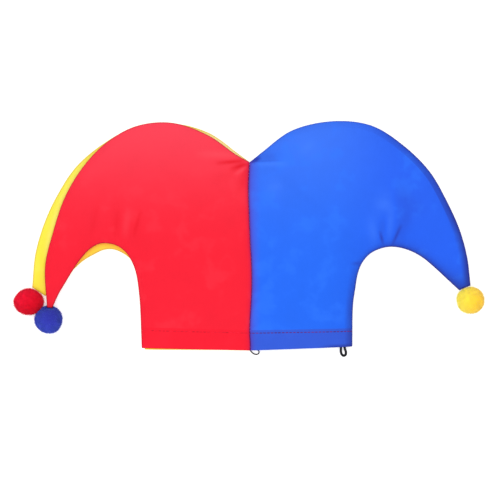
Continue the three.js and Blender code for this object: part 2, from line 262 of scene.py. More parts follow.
# Plain weave: threads both ways stand as half rounds, and each passes over and under the next. They
# wander a little, and some are thicker for a stretch.
weaveLook = {
    "wanderScale": 260.0, "wander": (0.0006, 0.0006, 0.0), "crossing": 4.0, "slubScale": (900.0, 60.0, 1.0),
    "toneShare": 0.12,
}


def makeWeaveGroup():
    group, given, result = startGroup(
        "plain_weave",
        [("Vector", "NodeSocketVector", None), ("Threads", "NodeSocketFloat", 2000.0),
         ("Slub", "NodeSocketFloat", 0.2)],
        ["Height", "Tone"])
    wander = put(group, "ShaderNodeTexNoise", {"noise_dimensions": "2D"},
                 {"Vector": given.outputs["Vector"], "Scale": weaveLook["wanderScale"],
                  "Detail": 2.0})
    moved = put(group, "ShaderNodeVectorMath", {"operation": "MULTIPLY_ADD"},
                {0: wander.outputs["Color"], 1: weaveLook["wander"], 2: given.outputs["Vector"]})
    threads = put(group, "ShaderNodeVectorMath", {"operation": "SCALE"},
                  {0: moved.outputs[0], "Scale": compute(group, "MULTIPLY", given.outputs["Threads"], math.pi)})
    axes = put(group, "ShaderNodeSeparateXYZ", {}, {0: threads.outputs[0]})
    warp = compute(group, "SINE", axes.outputs["X"])
    weft = compute(group, "SINE", axes.outputs["Y"])
    over = compute(group, "MULTIPLY_ADD", compute(group, "MULTIPLY", warp, weft), weaveLook["crossing"], 0.5)
    over = put(group, "ShaderNodeClamp", {}, {"Value": over}).outputs[0]
    warpRound = compute(group, "SQRT", compute(group, "ABSOLUTE", warp))
    weftRound = compute(group, "SQRT", compute(group, "ABSOLUTE", weft))
    height = put(group, "ShaderNodeMix", {"data_type": "FLOAT"},
                 {"Factor": over, "A": weftRound, "B": warpRound}).outputs[0]
    drawn = put(group, "ShaderNodeMapping", {},
                {"Vector": given.outputs["Vector"], "Scale": weaveLook["slubScale"]}).outputs[0]
    slubs = put(group, "ShaderNodeTexNoise", {"noise_dimensions": "2D"},
                {"Vector": drawn, "Scale": 1.0, "Detail": 3.0})
    uneven = compute(group, "MULTIPLY", compute(group, "SUBTRACT", slubs.outputs[0], 0.5), given.outputs["Slub"])
    group.links.new(compute(group, "ADD", height, uneven), result.inputs["Height"])
    # The tone is painted light on the relief: a thread is lighter where it stands higher, plus the slubs' own
    # unevenness
    tone = compute(group, "ADD", compute(group, "MULTIPLY", height, weaveLook["toneShare"]), uneven)
    group.links.new(tone, result.inputs["Tone"])
    return group


# Uneven dye: broad soft patches and a finer speckle, around zero
def makeDyeGroup():
    group, given, result = startGroup(
        "uneven_dye",
        [("Vector", "NodeSocketVector", None), ("Patch", "NodeSocketFloat", 18.0),
         ("Speckle", "NodeSocketFloat", 420.0)],
        ["Patches", "Speckles"])
    patches = put(group, "ShaderNodeTexNoise", {},
                  {"Vector": given.outputs["Vector"], "Scale": given.outputs["Patch"], "Detail": 3.0,
                   "Roughness": 0.55})
    speckles = put(group, "ShaderNodeTexNoise", {},
                   {"Vector": given.outputs["Vector"], "Scale": given.outputs["Speckle"], "Detail": 2.0})
    group.links.new(compute(group, "SUBTRACT", patches.outputs[0], 0.5), result.inputs["Patches"])
    group.links.new(compute(group, "SUBTRACT", speckles.outputs[0], 0.5), result.inputs["Speckles"])
    return group


# Where a panel is sewn and pressed: a thin painted dark rim at the seam, the painted shade towards it, the
# doubled hem, the painted shade in the creases and painted highlight on the crests of its folds, and painted
# bounce light from a neighbouring leaf
def makeSewnGroup():
    group, given, result = startGroup(
        "sewn_edges",
        [("Rim Width", "NodeSocketFloat", 0.0009), ("Hem Depth", "NodeSocketFloat", 0.017),
         ("Hem Blur", "NodeSocketFloat", 0.0007)],
        ["Rim", "Shade", "Seam", "Hem", "Crease Shade", "Crest Highlight", "Painted Bounce"])
    fold = readAttribute(group, "foldShade")
    hemEnd = compute(group, "ADD", given.outputs["Hem Depth"], given.outputs["Hem Blur"])
    masks = {
        # Painted dark rim: shade where the cloth turns down at a sealed edge
        "Rim": mapRange(group, readAttribute(group, "edgeDistance"), 0.0, given.outputs["Rim Width"], 1.0, 0.0),
        "Hem": mapRange(group, readAttribute(group, "hemDistance"), given.outputs["Hem Depth"], hemEnd, 1.0, 0.0),
        "Shade": readAttribute(group, "edgeShade"), "Seam": readAttribute(group, "seamShade"),
        "Crease Shade": compute(group, "MAXIMUM", fold, 0.0),
        "Crest Highlight": compute(group, "MAXIMUM", compute(group, "MULTIPLY", fold, -1.0), 0.0),
        "Painted Bounce": readAttribute(group, "paintedBounce"),
    }
    for label, value in masks.items():
        group.links.new(value, result.inputs[label])
    return group


weaveGroup = makeWeaveGroup()
dyeGroup = makeDyeGroup()
sewnGroup = makeSewnGroup()


def startMaterial(name, roughness, specular):
    material = bpy.data.materials.new(name)
    material.use_nodes = True
    tree = material.node_tree
    surface = tree.nodes["Principled BSDF"]
    surface.inputs["Roughness"].default_value = roughness
    surface.inputs["Specular IOR Level"].default_value = specular
    return material, tree, surface


def addBump(tree, surface, height, strength, distance):
    bump = put(tree, "ShaderNodeBump", {}, {"Height": height, "Strength": strength, "Distance": distance})
    tree.links.new(bump.outputs["Normal"], surface.inputs["Normal"])


# Cloth: painted light and shade from the hem up to the ridge, painted shade far out, another colour near the
# centre seam, darker where it lies double, with threads in relief
clothPlace = {
    "up": (-0.09, 0.12), "far": (0.06, 0.15), "centre": -0.001, "near": (0.002, 0.010), "cloud": (0.0, 0.16),
    "threadGloss": -0.12, "matter": 0.08,
}


def makeCloth(name, look):
    material, tree, surface = startMaterial(name, look["roughness"], look["specular"])
    cut = put(tree, "ShaderNodeUVMap", {"uv_map": "cut"}).outputs["UV"]
    place = put(tree, "ShaderNodeTexCoord").outputs["Object"]
    weave = put(tree, "ShaderNodeGroup", {"node_tree": weaveGroup},
                {"Vector": cut, "Threads": look["threads"], "Slub": look["slub"]})
    dye = put(tree, "ShaderNodeGroup", {"node_tree": dyeGroup},
              {"Vector": place, "Patch": look["patch"], "Speckle": look["speckle"]})
    sewn = put(tree, "ShaderNodeGroup", {"node_tree": sewnGroup},
               {"Rim Width": look["rimWidth"], "Hem Depth": look["hemDepth"], "Hem Blur": look["hemBlur"]})
    axes = put(tree, "ShaderNodeSeparateXYZ", {}, {0: place}).outputs
    # Painted light and shade: the cloth is darker towards the hem and lighter up towards the ridge
    paintedLightShare = mapRange(tree, axes["Y"], *clothPlace["up"])
    colour = blendColours(tree, compute(tree, "POWER", paintedLightShare, look["rise"]), look["low"], look["high"])
    # Painted shade: far out from the centre seam the cloth turns darker; only the blue cloth has a share of it
    far = mapRange(tree, compute(tree, "ABSOLUTE", axes["X"]), *clothPlace["far"])
    colour = blendColours(tree, compute(tree, "MULTIPLY", far, look["farShare"]), colour, look["far"])
    aside = compute(tree, "ABSOLUTE", compute(tree, "ADD", axes["X"], clothPlace["centre"]))
    near = mapRange(tree, aside, *clothPlace["near"], 1.0, 0.0)
    colour = blendColours(tree, compute(tree, "MULTIPLY", near, look["nearShare"]), colour, look["near"])
    cloud = mapRange(tree, dye.outputs["Patches"], *clothPlace["cloud"], 0.0, look["cloudShare"])
    colour = blendColours(tree, cloud, colour, look["cloud"])
    # Each mask blends in its colour: painted bounce light, painted crease shade, painted crest highlight, the
    # doubled hem, painted edge shade, the painted dark rim and the centre seam's colour
    for mask, shade, share in (
            ("Painted Bounce", "bounceTint", 1.0), ("Crease Shade", "creaseShade", 1.0), ("Crest Highlight", "crestHighlight", 1.0),
            ("Hem", "hem", look["hemShare"]), ("Shade", "edge", 1.0), ("Rim", "rim", look["rimShare"]),
            ("Seam", "seam", 1.0)):
        colour = blendColours(tree, compute(tree, "MULTIPLY", sewn.outputs[mask], share), colour, look[shade])
    colour = toned(tree, colour, (
        (dye.outputs["Patches"], look["patchShare"]), (dye.outputs["Speckles"], look["speckleShare"]),
        (weave.outputs["Tone"], look["weaveShare"])))
    tree.links.new(colour, surface.inputs["Base Color"])
    rough = compute(tree, "MULTIPLY_ADD", weave.outputs["Height"], clothPlace["threadGloss"],
                    look["roughness"] + clothPlace["matter"])
    tree.links.new(rough, surface.inputs["Roughness"])
    addBump(tree, surface, weave.outputs["Height"], look["reliefStrength"], look["relief"])
    return material


clothLook = {
    "roughness": 0.82, "specular": 0.1, "threads": 2100.0, "slub": 0.12, "patch": 42.0, "speckle": 380.0,
    "patchShare": 0.12, "speckleShare": 0.03, "rise": 2.0, "cloudShare": 0.38, "weaveShare": 0.22,
    "reliefStrength": 0.35, "relief": 0.00008, "rimWidth": 0.0012, "hemDepth": 0.0184, "hemBlur": 0.0007,
    "hemShare": 0.8, "rimShare": 0.75, "farShare": 0.0, "nearShare": 0.0,
}
blueCloth = makeCloth("blue_cloth", {
    **clothLook, "low": (0.016, 0.128, 0.8, 1), "high": (0.042, 0.158, 0.8, 1), "far": (0.018, 0.103, 0.78, 1),
    "farShare": 0.8, "near": (0.05, 0.104, 0.7, 1), "nearShare": 0.6, "bounceTint": (0.03, 0.12, 0.8, 1),
    "cloud": (0.026, 0.165, 0.86, 1), "rimShare": 0.5,
    "creaseShade": (0.02, 0.05, 0.42, 1), "crestHighlight": (0.05, 0.19, 0.88, 1),
    "hem": (0.034, 0.086, 0.56, 1), "edge": (0.02, 0.027, 0.23, 1), "rim": (0.036, 0.017, 0.11, 1),
    "seam": (0.09, 0.028, 0.32, 1)})
redCloth = makeCloth("red_cloth", {
    **clothLook, "rise": 3.2, "cloudShare": 0.2, "cloud": (0.82, 0.04, 0.065, 1),
    "low": (0.81, 0.013, 0.032, 1), "high": (0.81, 0.05, 0.083, 1), "far": (0.81, 0.03, 0.056, 1),
    "near": (0.79, 0.012, 0.03, 1), "nearShare": 0.5, "bounceTint": (0.8, 0.03, 0.03, 1),
    "creaseShade": (0.66, 0.002, 0.010, 1), "crestHighlight": (0.83, 0.065, 0.095, 1),
    "hem": (0.81, 0.010, 0.028, 1), "edge": (0.7, 0.012, 0.03, 1), "rim": (0.36, 0.008, 0.02, 1),
    "seam": (0.3, 0.006, 0.08, 1)})
yellowCloth = makeCloth("yellow_cloth", {
    **clothLook, "patchShare": 0.06, "cloudShare": 0.3, "cloud": (0.84, 0.8, 0.14, 1),
    "low": (0.82, 0.74, 0.055, 1), "high": (0.8, 0.73, 0.1, 1),
    "far": (0.83, 0.78, 0.09, 1), "near": (0.83, 0.7, 0.05, 1), "bounceTint": (1.0, 0.58, 0.06, 1),
    "creaseShade": (0.7, 0.45, 0.02, 1), "crestHighlight": (0.84, 0.8, 0.16, 1),
    # The edge colour here is pale: painted pale light beside the ridge near the crown
    "hem": (0.78, 0.6, 0.04, 1), "edge": (0.92, 0.87, 0.4, 1), "rim": (0.68, 0.4, 0.07, 1),
    "rimWidth": 0.002, "seam": (0.6, 0.3, 0.03, 1)})


# Yarn and elastic: painted shade that darkens the strands towards their roots and the elastic in its plait's
# grooves, each strand with its own tone, and painted light and shade across the ball, one side lighter and the
# other darker
def makeYarn(name, look):
    material, tree, surface = startMaterial(name, look["roughness"], look["specular"])
    surface.inputs["Sheen Weight"].default_value = look["sheen"]
    surface.inputs["Sheen Roughness"].default_value = look["sheenRoughness"]
    surface.inputs["Sheen Tint"].default_value = look["haze"]
    place = put(tree, "ShaderNodeTexCoord").outputs["Object"]
    dye = put(tree, "ShaderNodeGroup", {"node_tree": dyeGroup},
              {"Vector": place, "Patch": look["patch"], "Speckle": look["speckle"]})
    # Painted shade: towards the root colour a pompom's strands darken where they shade one another, and the
    # elastic darkens in its plait's grooves; on stitches the share is a random tone per stitch
    colour = blendColours(tree, readAttribute(tree, "tipShare"), look["root"], look["tip"])
    # Painted light and shade: one side of the ball lighter and the other darker
    colour = blendColours(tree, readAttribute(tree, "paintedSideLight"), colour, look["paintedSideLight"])
    colour = toned(tree, colour, (
        (readAttribute(tree, "strandTone"), look["strandShare"]), (dye.outputs["Patches"], look["patchShare"]),
        (dye.outputs["Speckles"], look["speckleShare"])))
    tree.links.new(colour, surface.inputs["Base Color"])
    addBump(tree, surface, dye.outputs["Speckles"], look["reliefStrength"], look["relief"])
    return material


yarnLook = {
    "roughness": 0.95, "specular": 0.05, "sheen": 0.3, "sheenRoughness": 0.5, "strandShare": 0.3,
    "patch": 240.0, "patchShare": 0.2, "speckle": 1800.0, "speckleShare": 0.2,
    "reliefStrength": 0.3, "relief": 0.0001,
}
elasticLook = {**yarnLook, "roughness": 0.8, "specular": 0.2, "sheen": 0.0, "haze": (1, 1, 1, 1)}
threadLook = {**elasticLook, "roughness": 0.6, "specular": 0.15, "paintedSideLight": (0.3, 0.01, 0.1, 1)}
yellowYarn = makeYarn("yellow_yarn", {
    **yarnLook, "patchShare": 0.03, "strandShare": 0.06, "speckleShare": 0.06, "sheen": 1.0,
    "haze": (1.0, 0.92, 0.4, 1), "paintedSideLight": (1.0, 0.64, 0.03, 1), "root": (1.0, 0.82, 0.07, 1),
    "tip": (1.0, 0.86, 0.085, 1)})
blueYarn = makeYarn("blue_yarn", {
    **yarnLook, "sheen": 0.75, "haze": (0.2, 0.38, 1.0, 1), "paintedSideLight": (0.048, 0.06, 0.56, 1),
    "root": (0.032, 0.032, 0.37, 1), "tip": (0.045, 0.044, 0.48, 1)})
redYarn = makeYarn("red_yarn", {
    **yarnLook, "haze": (1.0, 0.12, 0.25, 1), "paintedSideLight": (0.88, 0.009, 0.04, 1),
    "root": (0.7, 0.003, 0.013, 1), "tip": (0.82, 0.0035, 0.024, 1)})
blackElastic = makeYarn("black_elastic", {
    **elasticLook, "paintedSideLight": (0.01, 0.01, 0.01, 1), "root": (0.004, 0.004, 0.006, 1),
    "tip": (0.014, 0.014, 0.018, 1)})
purpleThread = makeYarn("purple_thread", {
    **threadLook, "root": (0.09, 0.01, 0.10, 1), "tip": (0.16, 0.014, 0.14, 1)})
redThread = makeYarn("red_thread", {
    **threadLook, "root": (0.6, 0.006, 0.025, 1), "tip": (0.78, 0.01, 0.035, 1)})
print("materials made")

# The elastic loops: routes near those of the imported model, in millimetres from the centre seam and the
# hem's foot. The side loop is thicker here and lies a little further out.
sideLoop = {
    "diameter": 2.3, "length": 0.039, "plaits": 8, "pitch": 3.6, "relief": 0.06, "rings": 150, "around": 32,
    "capRise": 0.1,
    "route": [
        (87.0, 11.5, 3.7), (87.1, 9.5, 3.7), (87.2, 6.0, 3.7), (87.0, 3.2, 3.8), (86.8, 0.8, 3.5),
        (86.9, -1.9, 2.1), (87.8, -4.5, 1.4), (89.6, -5.7, 1.3), (91.4, -4.6, 1.4), (91.6, -1.9, 2.1),
        (90.6, 0.8, 3.5), (90.3, 3.2, 3.8), (90.4, 6.0, 3.7), (90.5, 9.5, 3.7), (90.6, 12.5, 3.7)],
}
centreLoop = {
    "diameter": 1.1, "length": 0.041, "plaits": 8, "pitch": 2.4, "relief": 0.06, "rings": 170, "around": 32,
    "capRise": 0.1,
    "route": [
        (1.2, 12.5, 3.4), (1.1, 9.0, 3.4), (0.9, 5.5, 3.4), (0.7, 2.4, 3.5), (0.9, 0.2, 3.1),
        (2.4, -2.2, 1.5), (4.8, -4.0, 0.8), (7.3, -4.5, 0.7), (9.2, -3.4, 0.8), (9.4, -1.5, 1.6),
        (8.0, 0.2, 3.1), (7.0, 2.4, 3.5), (6.9, 5.5, 3.4), (6.9, 9.0, 3.4), (6.9, 12.5, 3.4)],
}


# Directions along a line and two that stand square to it and turn as little as they can
def lineFrames(line):
    along = unit(np.gradient(line, axis=0))
    side = np.zeros_like(along)
    side[0] = np.cross(along[0], (0, 0, 1))
    for k in range(1, len(line)):
        side[k] = side[k - 1] - along[k] * side[k - 1].dot(along[k])
    side = unit(side)
    return along, side, np.cross(along, side)


# A plaited round elastic: a tube carried along the route, whose radius grows by two crossing sets of
# turns, each a sine of the angle and the length along
def makeLoop(node, loop):
    line = smoothLine(loop["route"], np.linspace(0, len(loop["route"]) - 1, loop["rings"]))
    along, side, up = lineFrames(line)
    angle = np.linspace(0, 2 * math.pi, loop["around"], endpoint=False)
    turn = 2 * math.pi * lengthAlong(line)[:, None] / loop["pitch"]
    plait = np.sin(loop["plaits"] / 2 * angle + turn) * np.sin(loop["plaits"] / 2 * angle - turn)
    radius = loop["diameter"] / 2 * (1 + loop["relief"] * plait)
    tube = (line[:, None] + radius[:, :, None]
            * (side[:, None] * np.cos(angle)[:, None] + up[:, None] * np.sin(angle)[:, None]))
    ends = line[0] - along[0] * loop["capRise"], line[-1] + along[-1] * loop["capRise"]
    faces = [ringFaces(loop["rings"], loop["around"])[:, ::-1], capFaces(loop["rings"], loop["around"])]
    # Painted shade and light: darker in the plait's grooves and lighter on its ridges
    share = np.append((0.5 + 0.5 * plait).ravel(), [0.5, 0.5])
    piece = makePiece(
        node.replace("loop", "elastic"), inFrame(np.vstack([tube.reshape(-1, 3), *ends])), faces, blackElastic,
        {"tipShare": share, "strandTone": share - 0.5})
    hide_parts(node)


makeLoop("side_hem_loop", sideLoop)
makeLoop("centre_hem_loop", centreLoop)
print("hem loops made")

# The leaves, from the hem to the horn's tip, a row for each section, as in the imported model: x and y of
# the outer and of the inner edge in the plan, both edges' lift, and the bulge. The crown is the sixth.
blueRows = [
    (0, 0, 0.986, 0.018, 1, 0.35), (0, 0.24, 0.993, 0.24, 1, 0.35),
    (0, 0.501, 1.015, 0.33, 1, 0.42), (0, 0.741, 1.038, 0.405, 1, 0.6),
    (0, 0.911, 1.072, 0.456, 1, 0.9), (0, 1, 1.114, 0.49, 1, 1.2),
    (0.059, 0.862, 0.145, 0.421, 1, 1.16), (0.194, 0.957, 0.205, 0.437, 1, 1.06),
    (0.384, 0.998, 0.283, 0.448, 1, 1.02), (0.555, 0.978, 0.369, 0.448, 1, 1),
    (0.699, 0.891, 0.48, 0.433, 1, 1), (0.817, 0.777, 0.592, 0.402, 1, 0.94),
    (0.896, 0.645, 0.703, 0.355, 1.1, 0.8), (0.952, 0.523, 0.789, 0.314, 1.5, 0.62),
    (0.985, 0.403, 0.858, 0.281, 2.3, 0.4), (0.999, 0.281, 0.902, 0.26, 3.3, 0.04)]
redRows = [
    (0, 0, 1.019, 0.012, 1, 0.2), (0, 0.24, 1.035, 0.24, 1, 0.2),
    (0, 0.501, 1.048, 0.32, 1, 0.3), (0, 0.741, 1.067, 0.394, 1, 0.5),
    (0, 0.911, 1.093, 0.445, 1, 1.0), (0, 1, 1.129, 0.487, 1, 1.5),
    (0.059, 0.847, 0.183, 0.426, 1, 1.42), (0.201, 0.934, 0.259, 0.451, 1, 1.25),
    (0.378, 0.988, 0.345, 0.463, 1, 1.1), (0.555, 0.973, 0.441, 0.463, 1, 1.03),
    (0.707, 0.896, 0.536, 0.442, 1, 1), (0.823, 0.784, 0.634, 0.398, 1, 0.94),
    (0.905, 0.658, 0.721, 0.344, 0.9, 0.82), (0.961, 0.51, 0.79, 0.295, 0.7, 0.66),
    (0.999, 0.366, 0.856, 0.248, 0.5, 0.46), (0.99, 0.186, 0.925, 0.184, 0.3, 0.04)]
yellowRows = [
    (0, 0, 0.995, 0.002, 1, 1), (0, 0.24, 1.005, 0.24, 1, 1),
    (0, 0.501, 1.019, 0.309, 1, 1), (0, 0.741, 1.04, 0.378, 1, 1),
    (0, 0.911, 1.067, 0.429, 1, 1), (0, 1, 1.108, 0.47, 1, 1),
    (0.051, 0.856, 0.142, 0.405, 1, 1), (0.184, 0.946, 0.205, 0.4255, 1, 1),
    (0.35, 0.988, 0.28, 0.4385, 1, 1), (0.52, 0.974, 0.36, 0.436, 1, 1),
    (0.672, 0.899, 0.449, 0.416, 1, 1), (0.798, 0.797, 0.542, 0.389, 1, 0.95),
    (0.882, 0.677, 0.627, 0.352, 1, 0.85), (0.941, 0.558, 0.712, 0.316, 1.1, 0.7),
    (0.984, 0.418, 0.801, 0.274, 1.4, 0.45), (0.998, 0.272, 0.88, 0.235, 1.9, 0.04)]

# What all leaves share, a number for each section: the pull of the crown on the ridge, and how wide
# the leaf opens at the centre seam
crownPull = [1, 1, 1, 1, 1, 1, 0.42, 0.06, 0, 0, 0, 0, 0, 0, 0, 0]
mouthOpen = [1, 1, 0.98, 0.92, 0.64, 0, 0, 0, 0, 0, 0, 0, 0, 0, 0, 0]

# Folds pressed into the front panels: both ends as shares of the reach and of peakHeight, the width
# and the depth in millimetres, and the share of painted crease shade. Below zero they are crests, with painted
# highlight.
blueFolds = [
    (0.0, 0.818, 0.12, 0.845, 5.4, 1.25, 0.0), (0.002, 0.8175, 0.042, 0.834, 1.9, 1.1, 1.3),
    (0.02, 0.828, 0.13, 0.85, 5.0, 0.6, 0.28), (0.005, 0.8185, 0.15, 0.824, 1.0, 0.4, 0.35),
    (0.012, 0.81, 0.16, 0.81, 2.6, -0.5, -0.6), (0.609, 0.6, 0.603, 0.44, 5.9, 1.1, 0.25),
    (0.72, 0.6, 0.65, 0.44, 5.9, 1.25, 0.25), (0.591, 0.512, 0.6046, 0.463, 1.4, 0.7, 0.7),
    (0.6836, 0.54, 0.6475, 0.4595, 1.4, 0.7, 0.7), (0.681, 0.719, 0.69, 0.588, 9.0, 0.5, 0.2),
    (0.72, 0.61, 0.765, 0.665, 15.0, 0.3, 0.16), (0.6, 0.6, 0.62, 0.66, 9.0, -0.3, -0.45),
    (0.28, 0.87, 0.25, 0.9, 9.0, -0.3, -0.5), (0.11, 0.73, 0.125, 0.69, 7.0, -0.2, -0.4),
    (0.55, 0.56, 0.57, 0.47, 5.0, -0.5, -0.35), (0.64, 0.6, 0.625, 0.47, 4.0, -0.6, -0.4),
    (0.467, 0.376, 0.505, 0.379, 2.0, 0.6, 0.5)]
redFolds = [
    (0.0, 0.824, 0.17, 0.823, 4.5, 1.2, 0.15), (0.0, 0.808, 0.16, 0.74, 5.4, 1.2, 0.15),
    (0.0, 0.8, 0.05, 0.68, 5.0, 1.0, 0.3), (0.0246, 0.824, 0.152, 0.812, 1.7, 0.9, 0.6),
    (0.04, 0.846, 0.24, 0.852, 4.0, -0.7, -0.5), (0.012, 0.799, 0.059, 0.767, 2.0, -0.9, -0.7),
    (0.01, 0.81, 0.083, 0.788, 2.2, 0.9, 0.6), (0.0, 0.815, 0.03, 0.82, 1.6, -0.5, -0.6),
    (0.65, 0.65, 0.635, 0.46, 5.9, 0.75, 0.1), (0.57, 0.6, 0.53, 0.46, 5.9, 0.6, 0.1),
    (0.562, 0.5, 0.53, 0.605, 1.9, 0.35, 0.3), (0.655, 0.505, 0.64, 0.6, 2.6, 0.3, 0.2),
    (0.77, 0.5, 0.74, 0.64, 2.8, 0.25, 0.15), (0.61, 0.5, 0.59, 0.6, 4.0, -0.3, -0.25)]
yellowFolds = [
    (0.926, 0.4, 0.915, 0.5, 3.0, -0.3, -0.7), (0.915, 0.5, 0.86, 0.653, 3.0, -0.3, -0.7),
    (0.86, 0.653, 0.759, 0.806, 2.6, -0.3, -0.7)]

panelLook = {
    "columns": 68, "hemRows": 46, "upperStep": 0.085, "foldColumns": 96, "foldStep": 0.045, "foldRows": (4, 12),
    "roundRows": 5, "hemEnd": 0.024, "tipEnd": 0.05, "sealRound": 1.3, "centreRound": 0.45, "hemRound": 0.9,
    "pucker": 0.28, "puckerWaves": (7, 16), "puckerReach": 7.0, "clear": (2, 30),
    "hemWave": 0.25, "hemWaves": (12, 30), "hemReach": 12, "swell": 0.4, "swellWaves": (28, 75),
    "allowanceEnd": (5.9, 7.0), "allowanceRise": 0.2, "stitchReach": 0.8, "bounceReach": 9.0, "bounceFrom": (85, 105),
    "easeRows": 0.7, "easePasses": 60, "easeShare": 0.9, "easeNear": (0.02, 0.2), "easeFar": (0.85, 0.98),
    "crownReach": 1.6, "crownAcross": 0.14, "seamDark": 1.15, "darkest": 0.95, "bowSteps": 200,
    "bowEnd": (177, 190),
}
plainLeaf = {
    "rest": 0.0, "press": 1e6, "bounceFromLeaf": None, "crownOpen": 0.0, "thread": redThread, "crownPaleLight": 0.0,
    "sideShade": 0.0, "farShade": 0.0, "bandShade": 0.0, "bandExtra": 0.0, "tipShade": 0.0, "cornerShade": 0.0,
    "seamReach": 1.2,
}
leaves = {
    "blue": {
        **plainLeaf, "side": 1, "reach": 209.0, "rows": blueRows, "folds": blueFolds, "frontPuff": 9.5,
        "crownSeam": 10.55, "crownOpen": 1.5, "frontAtCentre": 19.8, "swell": 1.0, "seed": 11,
        "cloth": blueCloth, "slot": "blue_cloth", "flat": (0.21, 0.218), "areas": (0.0323, 0.0313),
        "thread": purpleThread, "rimShade": 0.95, "sideShade": 0.75, "farShade": 0.93, "bandShade": 0.24,
        "bandExtra": 0.18, "tipShade": 0.95, "cornerShade": 0.7, "seamReach": 1.9, "hemSlant": (0.4, -1.4),
    },
    "red": {
        **plainLeaf, "side": -1, "reach": 192.0, "rows": redRows, "folds": redFolds, "frontPuff": 5.0,
        "rest": 10.7, "crownSeam": 12.05, "frontAtCentre": 19.8, "swell": 0.8, "seed": 23,
        "cloth": redCloth, "slot": "red_cloth", "flat": (0.194, 0.216), "areas": (0.0300, 0.0297),
        "rimShade": 0.3, "sideShade": 0.1, "bandShade": 0.06, "tipShade": 0.6, "hemSlant": (0.5, 0.9),
    },
    "yellow": {
        **plainLeaf, "side": -1, "reach": 205.0, "rows": yellowRows, "folds": yellowFolds, "frontPuff": 6.5,
        "bounceFromLeaf": "red", "press": 10.4, "crownSeam": 9.05, "frontAtCentre": 9.2, "swell": 0.0, "seed": 37,
        "cloth": yellowCloth, "slot": "yellow_cloth", "flat": (0.206, 0.216), "areas": (0.0314, 0.0312),
        "rimShade": 0.0, "crownPaleLight": 0.85, "hemSlant": (0.0, 0.0),
    },
}


# Both edges of a leaf and its shares at the section positions at. Up to the crown the outer edge is
# the centre seam, and past it the ridge.
def leafLines(leaf, at):
    rows = np.array(leaf["rows"], float)
    crown = hat["crownRow"]
    below = np.arange(len(rows)) <= crown
    tall = np.where(below, hat["seamHeight"], hat["peakHeight"])
    outer = np.stack([
        rows[:, 0] * np.where(below, hat["hemWidth"], leaf["reach"]), rows[:, 1] * tall, rows[:, 4]], -1)
    horn = hat["hemWidth"] + rows[:, 2] * (leaf["reach"] - hat["hemWidth"])
    inner = np.stack([np.where(below, rows[:, 2] * hat["hemWidth"], horn), rows[:, 3] * tall, rows[:, 4]], -1)
    onCentre = at <= crown
    out = np.where(onCentre[:, None], smoothLine(outer[: crown + 1], np.minimum(at, crown)),
                   smoothLine(outer[crown:], np.maximum(at - crown, 0)))
    inn = smoothLine(inner, at)
    share = smoothLine(np.column_stack([crownPull, mouthOpen, rows[:, 5]]), at)
    join = np.where(onCentre, 1.0, np.clip(share[:, 0], 0, 1))
    mouth = np.where(onCentre, np.clip(share[:, 1], 0, 1), 0.0)
    low = leaf["rest"] + hat["clothWall"] + hat["sewnGap"] / 2
    ridgeSeam = low + out[:, 2] * hat["seamLift"]
    return {
        "out": np.stack([np.maximum(out[:, 0], 0), out[:, 1]], -1), "inn": inn[:, :2],
        "outSeam": ridgeSeam * (1 - join) + leaf["crownSeam"] * join,
        "inSeam": low + inn[:, 2] * hat["seamLift"],
        "join": join, "mouth": mouth, "puff": np.maximum(share[:, 2], 0),
    }


# A fold is a groove that fades out at its ends: a bell curve across, a half sine along. Gives the depth
# and the share of painted shade in the crease, which below zero is painted highlight on a crest.
def pressedFolds(leaf, x, y):
    deep, shaded = np.zeros_like(x), np.zeros_like(x)
    for fromX, fromY, toX, toY, width, depth, shade in leaf["folds"]:
        start = np.array([fromX * leaf["reach"], fromY * hat["peakHeight"]])
        along = np.array([toX * leaf["reach"], toY * hat["peakHeight"]]) - start
        dx, dy = x - start[0], y - start[1]
        share = np.clip((dx * along[0] + dy * along[1]) / along.dot(along), 0, 1)
        away = np.hypot(dx - share * along[0], dy - share * along[1]) / width
        fade = np.sin(math.pi * (hat["foldFade"] + (1 - 2 * hat["foldFade"]) * share))
        bell = np.exp(-away * away) * fade
        deep += depth * bell
        shaded += shade * bell
    return deep, shaded


# Shortest distance in the plan from every point of the grid to a line of points
def distanceTo(x, y, line):
    best = np.full(x.shape, 1e9)
    start, step = line[:-1], np.diff(line, axis=0)
    for (sx, sy), (ax, ay) in zip(start, step):
        size = max(ax * ax + ay * ay, 1e-12)
        share = np.clip(((x - sx) * ax + (y - sy) * ay) / size, 0, 1)
        best = np.minimum(best, np.hypot(x - sx - share * ax, y - sy - share * ay))
    return best


# Rounds a wall off towards an edge as a quarter circle does, 0 at the edge and 1 from radius on
def rounded(distance, radius):
    return np.sqrt(np.maximum(0, 1 - (1 - np.minimum(distance / radius, 1)) ** 2))


# Eases the kink where the centre seam turns into the ridge: each pass moves the rows near the crown to
# the mean of their neighbours by a share that is a bell curve of the row and falls to 0 at both edges
def eased(values, at, v):
    weight = np.exp(-(((at - hat["crownRow"]) / panelLook["easeRows"]) ** 2))[1:-1, None]
    across = smoothStep(*panelLook["easeNear"], v) * (1 - smoothStep(*panelLook["easeFar"], v))
    share = panelLook["easeShare"] * weight * across
    for _ in range(panelLook["easePasses"]):
        middle = (values[:-2] + values[2:]) / 2
        values = np.concatenate([values[:1], values[1:-1] + share * (middle - values[1:-1]), values[-1:]])
    return values


